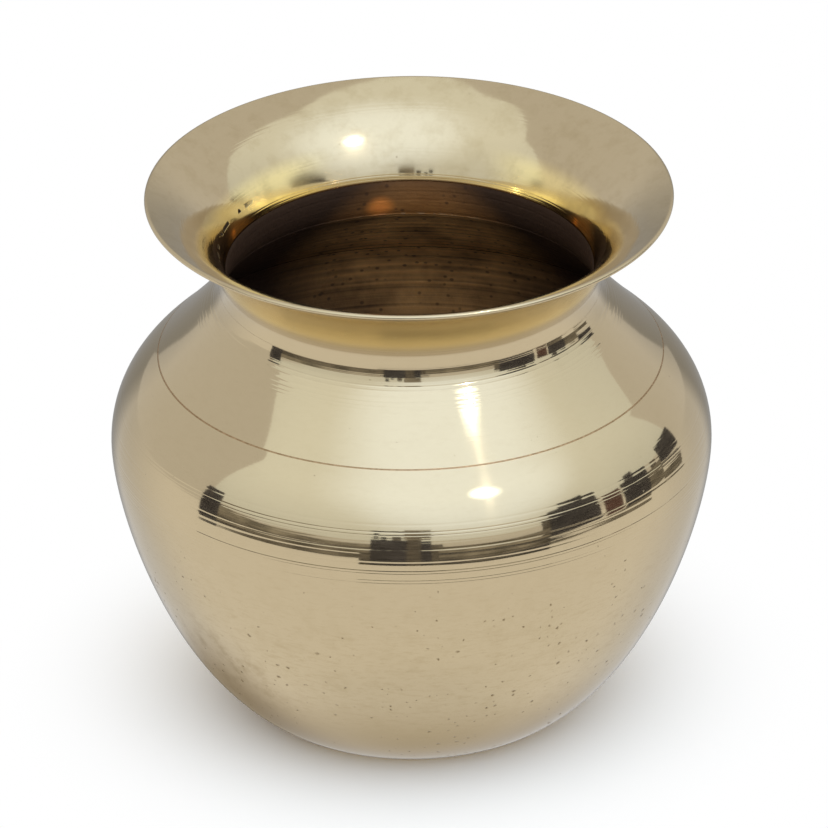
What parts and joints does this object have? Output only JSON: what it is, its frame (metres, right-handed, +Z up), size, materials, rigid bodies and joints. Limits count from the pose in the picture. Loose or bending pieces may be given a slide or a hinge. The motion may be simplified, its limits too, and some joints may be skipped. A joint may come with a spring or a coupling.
{
  "type": "lota",
  "caption": "Round-bellied brass water pot with a flat base, a waisted neck and a wide flared mouth, built from turned shells brazed at the shoulder and the neck.",
  "frame": {"origin": "middle of the flat underside, on the surface that the pot stands on", "axes": "+Z up along the pot's axis; the pot is round, so X and Y are free"},
  "size_m": [0.11, 0.11, 0.1016],
  "materials": {
    "polished_brass": "lathe-turned and polished outside and in the mouth, left brown and unpolished inside",
    "braze": "dull reddish brazing alloy, filed just below the surface"
  },
  "bodies": {
    "root": {"bowl": "polished_brass", "shoulder_braze": "braze", "shoulder": "polished_brass", "neck_braze": "braze", "mouth_collar": "polished_brass"}
  },
  "joints": []
}
